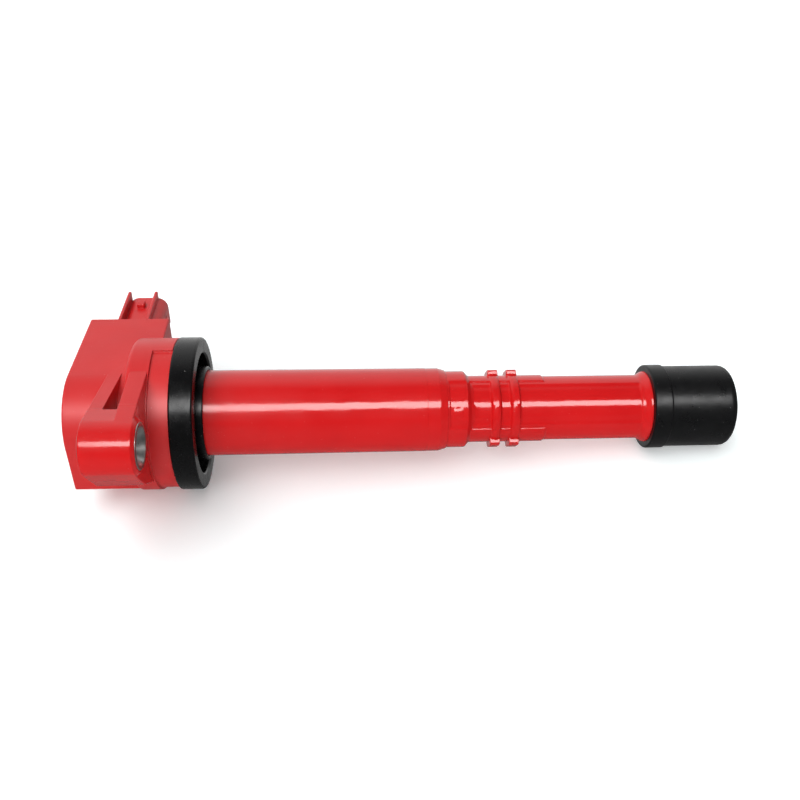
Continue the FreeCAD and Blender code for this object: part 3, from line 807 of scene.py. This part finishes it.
def build_finishes():
    red = (0.56, 0.0085, 0.0095)
    deep = (0.52, 0.0065, 0.0075)
    return {
        "red_case": gloss_plastic(
            "red_case_plastic", red, deep, gloss=0.11, peel=0.02, edge=0.3,
            zones=[("Y", -22.5, -21.0, 0.24)]),
        "red_sleeve": gloss_plastic(
            "red_sleeve_plastic", red, deep, gloss=0.14, peel=0.035, edge=0.25,
            zones=[("X", 14.0, 42.0, -0.06)]),
        "red_tower": gloss_plastic("red_tower_plastic", red, deep, gloss=0.08, peel=0.03, edge=0.2),
        "seal_rubber": rubber("seal_black_rubber", (0.0022, 0.0022, 0.0024), gloss=0.19, edge=0.3),
        "boot_rubber": rubber("boot_black_rubber", (0.0035, 0.0035, 0.0038), gloss=0.25, edge=0.3),
        "bush_steel": metal("bush_turned_steel", (0.62, 0.61, 0.59), gloss=0.22, stretch=(6, 0.3, 0.3)),
        "blade_tin": metal("blade_tin_plate", (0.72, 0.70, 0.66), gloss=0.2, stretch=(1, 0.1, 1)),
        "module_black": dull_solid(
            "module_epoxy", (0.030, 0.030, 0.033), (0.045, 0.045, 0.048), gloss=0.4, grain=0.2, depth=0.01),
        "sink_aluminium": metal(
            "sink_rolled_aluminium", (0.75, 0.76, 0.78), gloss=0.3, stretch=(1, 0.05, 1)),
        "brass_strip": metal("brass_strip_metal", (0.80, 0.60, 0.28), gloss=0.25, stretch=(1, 0.1, 1)),
        "potting_resin": dull_solid(
            "potting_epoxy", (0.020, 0.017, 0.015), (0.035, 0.030, 0.026), gloss=0.16, grain=4.0, depth=0.04,
            coat=0.3),
        "silicon_steel": striped(
            "core_laminations", (0.50, 0.51, 0.53), (0.18, 0.18, 0.19), pitch=0.35, gloss=0.35, depth=0.03),
        "bobbin_plastic": dull_solid(
            "bobbin_moulding", (0.56, 0.52, 0.44), (0.48, 0.44, 0.36), gloss=0.4, grain=0.5, depth=0.01),
        "copper_wire": striped(
            "enamelled_copper", (0.72, 0.30, 0.12), (0.25, 0.08, 0.03), pitch=0.12, gloss=0.28, depth=0.05),
        "magnet_grey": dull_solid(
            "sintered_magnet", (0.24, 0.24, 0.26), (0.18, 0.18, 0.19), gloss=0.45, grain=0.15, depth=0.01),
        "damper_rubber": dull_solid(
            "damper_foam_rubber", (0.05, 0.05, 0.05), (0.08, 0.08, 0.08), gloss=0.7, grain=0.3, depth=0.04),
        "terminal_brass": metal(
            "terminal_turned_brass", (0.80, 0.62, 0.30), gloss=0.22, stretch=(6, 0.3, 0.3)),
        "resistor_ceramic": dull_solid(
            "resistor_body", (0.86, 0.84, 0.78), (0.78, 0.75, 0.68), gloss=0.35, grain=0.2, depth=0.008),
        "spring_steel": metal("spring_drawn_wire", (0.60, 0.60, 0.59), gloss=0.2, stretch=(1, 1, 1)),
    }


# ---- assembly ----

def dress(item, finish):
    item.data.materials.clear()
    item.data.materials.append(finish)


def settle(item, body, slot, *nodes):
    """Give a new piece its finish, body and the CAD nodes it stands for."""
    dress(item, FINISHES[slot])
    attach(item, body)
    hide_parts(*nodes)
    return item


FINISHES = build_finishes()
settle(head_case(), ROOT, "red_case", "head_case")
settle(sleeve(), ROOT, "red_sleeve", "coil_sleeve")
settle(tower(), ROOT, "red_tower", "extension_tower")
settle(seal(), ROOT, "seal_rubber", "cover_seal")
settle(boot(), ROOT, "boot_rubber", "plug_boot")
settle(bush(), ROOT, "bush_steel", "bolt_bush")
settle(potting(), ROOT, "potting_resin", "head_resin")
for pin_number in (1, 2, 3):
    settle(blade_pin(pin_number), ROOT, "blade_tin", "terminal_blade_%d" % pin_number)
spring_piece, tip_piece = contact_parts()
settle(spring_piece, ROOT, "spring_steel", "contact_spring")
settle(tip_piece, CONTACT, "spring_steel", "spring_tip")
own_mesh(spring_piece)

CARRIED = {
    "igniter_module": "module_black", "igniter_heat_sink": "sink_aluminium", "supply_busbar": "brass_strip",
    "switch_busbar": "brass_strip", "hv_diode": "module_black", "core_shield": "silicon_steel",
    "primary_bobbin": "bobbin_plastic", "primary_winding": "copper_wire", "sleeve_resin": "potting_resin",
    "secondary_bobbin": "bobbin_plastic", "secondary_winding": "copper_wire",
    "winding_resin": "potting_resin", "central_core": "silicon_steel", "upper_magnet": "magnet_grey",
    "lower_magnet": "magnet_grey", "core_dampers": "damper_rubber", "hv_terminal": "terminal_brass",
    "suppression_resistor": "resistor_ceramic", "resistor_caps": "terminal_brass",
    "spring_seat": "terminal_brass",
}
for node_name, slot_name in CARRIED.items():
    dress(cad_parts[node_name], FINISHES[slot_name])


# ---- stage, light and camera ----

def floor():
    """Pale floor that the seal's rim and the far end of the boot lie on. It glows with painted light of its
    own: faint next to the object, so the shadow under it stays, and full further away.
    """
    rise = math.atan2(SEAL_WIDE - BOOT_GRIP, BOOT_END - BOOT_ROUND - SEAL_FRONT)
    reach = 1500
    sheet = new_object("pale_floor", [(-reach, -reach, 0), (reach, -reach, 0), (reach, reach, 0),
                                      (-reach, reach, 0)], [(0, 1, 2, 3)])
    sheet.location = (SEAL_FRONT * MM, 0, -(SEAL_WIDE + 0.1) * MM)
    sheet.rotation_euler = (0, -rise, 0)
    look = Finish("pale_floor_paint")
    tone = look.mix(look.level(look.noise(60, 3), 0.0, 1.0), (0.85, 0.91, 0.914), (0.83, 0.89, 0.894))
    away = look.node("ShaderNodeVectorMath", {0: look.place}, operation="LENGTH").outputs["Value"]
    # Painted light: the floor glows, faintly near the object and fully further out, lifting its shadow and
    # whitening the far floor.
    glow = look.rise(away, 0, 450, 0.15, 1.0)
    grain = look.bump(look.noise(1.5, 3), 0.02)
    dress(sheet, look.set(Base_Color=tone, Roughness=0.85, Normal=grain, Emission_Color=(1, 1, 1, 1),
                          Emission_Strength=glow))
    sheet.visible_glossy = False


CENTRE = Vector((55, 0, 0))


def soft_box(name, azimuth, elevation, distance, width, height, radiance, gleam):
    """Area light that faces the middle of the object, with its brightness as radiance.
    A gleam light is only seen in reflections, and the others only light surfaces."""
    turn = math.radians(azimuth)
    rise = math.radians(elevation)
    way = Vector((math.sin(turn) * math.cos(rise), -math.cos(turn) * math.cos(rise), math.sin(rise)))
    lamp = bpy.data.lights.new(name, "AREA")
    lamp.shape = "RECTANGLE"
    lamp.size = width
    lamp.size_y = height
    lamp.energy = radiance * math.pi * width * height
    item = bpy.data.objects.new(name, lamp)
    item.location = CENTRE * MM + way * distance
    item.rotation_mode = "QUATERNION"
    item.rotation_quaternion = way.to_track_quat("Z", "Y")
    item.visible_glossy = gleam
    item.visible_diffuse = not gleam
    bpy.context.scene.collection.objects.link(item)


# Where the studio glows: direction, cosines at which the glow starts and is full, strength at those two.
GLOWS = [((-0.20, 0.93, 0.25), (0.35, 0.9), (0.10, 0.95)), ((0, -0.35, -1), (0.2, 0.8), (0.0, 0.2))]


def surroundings():
    """Studio that is bright behind and below the object, dim in front, and white where nothing stands."""
    world = bpy.data.worlds.new("studio_white")
    world.use_nodes = True
    tree = world.node_tree
    way = tree.nodes.new("ShaderNodeTexCoord").outputs["Generated"]
    strength = tree.nodes.new("ShaderNodeLightPath").outputs["Is Camera Ray"]
    for toward, cosines, strengths in GLOWS:
        dot = tree.nodes.new("ShaderNodeVectorMath")
        dot.operation = "DOT_PRODUCT"
        dot.inputs[1].default_value = Vector(toward).normalized()
        rise = tree.nodes.new("ShaderNodeMapRange")
        rise.interpolation_type = "SMOOTHSTEP"
        for socket, value in zip(("From Min", "From Max", "To Min", "To Max"), (*cosines, *strengths)):
            rise.inputs[socket].default_value = value
        highest = tree.nodes.new("ShaderNodeMath")
        highest.operation = "MAXIMUM"
        tree.links.new(way, dot.inputs[0])
        tree.links.new(dot.outputs["Value"], rise.inputs["Value"])
        tree.links.new(rise.outputs[0], highest.inputs[0])
        tree.links.new(strength, highest.inputs[1])
        strength = highest.outputs[0]
    background = tree.nodes["Background"]
    tree.links.new(strength, background.inputs["Strength"])
    background.inputs["Color"].default_value = (1, 1, 1, 1)
    bpy.context.scene.world = world


def camera():
    """Camera turned about the coil axis by its elevation, then aimed by pan, tilt and roll."""
    stand = Vector((43.9, -252.5, 0))
    elevation = math.radians(37.1)
    pan = math.radians(3.051)
    tilt = math.radians(0.629)
    roll = math.radians(-0.868)
    forward = Vector((math.sin(pan) * math.cos(tilt), math.cos(pan) * math.cos(tilt), math.sin(tilt)))
    level = Vector((math.cos(pan), -math.sin(pan), 0))
    above = level.cross(forward)
    right = level * math.cos(roll) + above * math.sin(roll)
    up = above * math.cos(roll) - level * math.sin(roll)
    turn = Matrix.Rotation(-elevation, 3, "X")
    lens = bpy.data.cameras.new("view")
    lens.lens = 40.5
    lens.sensor_width = 36
    item = bpy.data.objects.new("view", lens)
    axes = Matrix([turn @ right, turn @ up, turn @ -forward]).transposed()
    item.matrix_world = Matrix.Translation(turn @ stand * MM) @ axes.to_4x4()
    bpy.context.scene.collection.objects.link(item)
    bpy.context.scene.camera = item


bpy.context.scene.view_settings.view_transform = "Standard"
floor()
surroundings()
soft_box("strip_gleam", azimuth=8, elevation=50, distance=0.9, width=0.9, height=0.27, radiance=11.0,
         gleam=True)
soft_box("front_fill", azimuth=-22, elevation=36, distance=1.2, width=1.4, height=0.9, radiance=2.3,
         gleam=False)
soft_box("overhead", azimuth=-60, elevation=66, distance=2.0, width=2.4, height=1.6, radiance=2.9,
         gleam=False)
camera()
